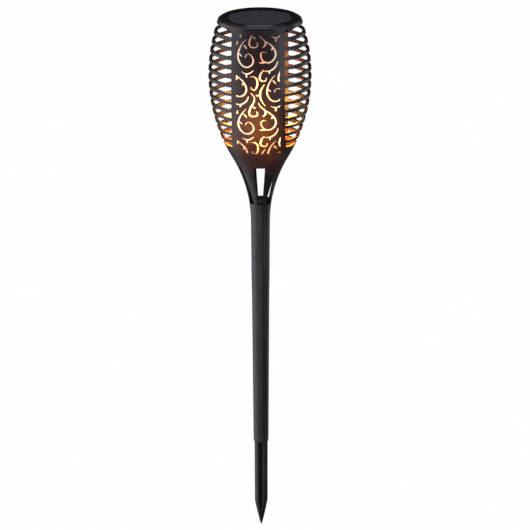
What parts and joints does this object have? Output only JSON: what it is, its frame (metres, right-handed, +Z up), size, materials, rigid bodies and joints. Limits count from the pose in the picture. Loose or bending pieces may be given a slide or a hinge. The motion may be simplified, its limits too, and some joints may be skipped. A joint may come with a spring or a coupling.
{
  "type": "solar flame torch light",
  "caption": "Garden torch light on a ground spike: tapered pole, egg-shaped black shade with scroll cut-outs and ring slats, solar cap and lift-out LED flame unit.",
  "frame": {"origin": "tip of the ground spike, on the axis of the pole and shade", "axes": "+Z up along the pole, -Y is the front, the side of one scroll strap, +X to the right seen from the front"},
  "size_m": [0.116, 0.116, 0.59],
  "materials": {
    "abs_black": "fine spark texture, satin",
    "spike_plastic": "satin",
    "cap_gloss": "gloss",
    "seal_rubber": "matt",
    "panel_laminate": "gloss laminate",
    "silicon": "dark blue-grey cells under clear resin",
    "ribbon_silver": "silver",
    "diffuser_frosted": "frosted white, lit from inside",
    "core_white": "moulded white",
    "flex_white": "white solder mask",
    "led_amber": "amber phosphor",
    "screw_steel": "zinc plated",
    "switch_black": "semi gloss",
    "button_grey": "satin",
    "cell_wrap": "plain blue shrink wrap over metal",
    "contact_nickel": "nickel plated",
    "board_green": "green solder mask",
    "chip_black": "moulded epoxy",
    "wire_red_black": "PVC insulation"
  },
  "bodies": {
    "spike": {"ground_spike": "spike_plastic"},
    "pole": {"pole_tube": "abs_black"},
    "shade": {"torch_shade": "abs_black"},
    "gasket": {"cap_gasket": "seal_rubber"},
    "lamp": {"cap_ring": "cap_gloss", "panel_board": "panel_laminate", "solar_cells": "silicon", "cell_ribbons": "ribbon_silver", "light_diffuser": "diffuser_frosted", "core_tube": "core_white", "led_flex": "flex_white", "led_chips": "led_amber", "end_cap": "abs_black", "core_screws": "screw_steel", "end_screws": "screw_steel", "switch_body": "switch_black", "switch_bezel": "switch_black", "battery_cell": "cell_wrap", "battery_holder": "core_white", "contact_plates": "contact_nickel", "control_board": "board_green", "board_chips": "chip_black", "panel_leads": "wire_red_black", "battery_leads": "wire_red_black", "switch_leads": "wire_red_black"},
    "button": {"switch_button": "button_grey"}
  },
  "joints": [
    {"name": "pole_pull", "type": "slide", "parent": "spike", "child": "pole", "axis": [0, 0, 1], "range_m": [0, 0.045]},
    {"name": "head_pull", "type": "slide", "parent": "pole", "child": "shade", "axis": [0, 0, 1], "range_m": [0, 0.05]},
    {"name": "module_lift", "type": "slide", "parent": "shade", "child": "gasket", "axis": [0, 0, 1], "range_m": [0, 0.17]},
    {"name": "cap_twist", "type": "hinge", "parent": "gasket", "child": "lamp", "pos_m": [0, 0, 0.5868], "axis": [0, 0, 1], "range_deg": [-25, 0]},
    {"name": "switch_press", "type": "slide", "parent": "lamp", "child": "button", "axis": [0, 0, 1], "range_m": [0, 0.0018], "stiffness_N_per_m": 400, "springref_m": -0.001}
  ]
}
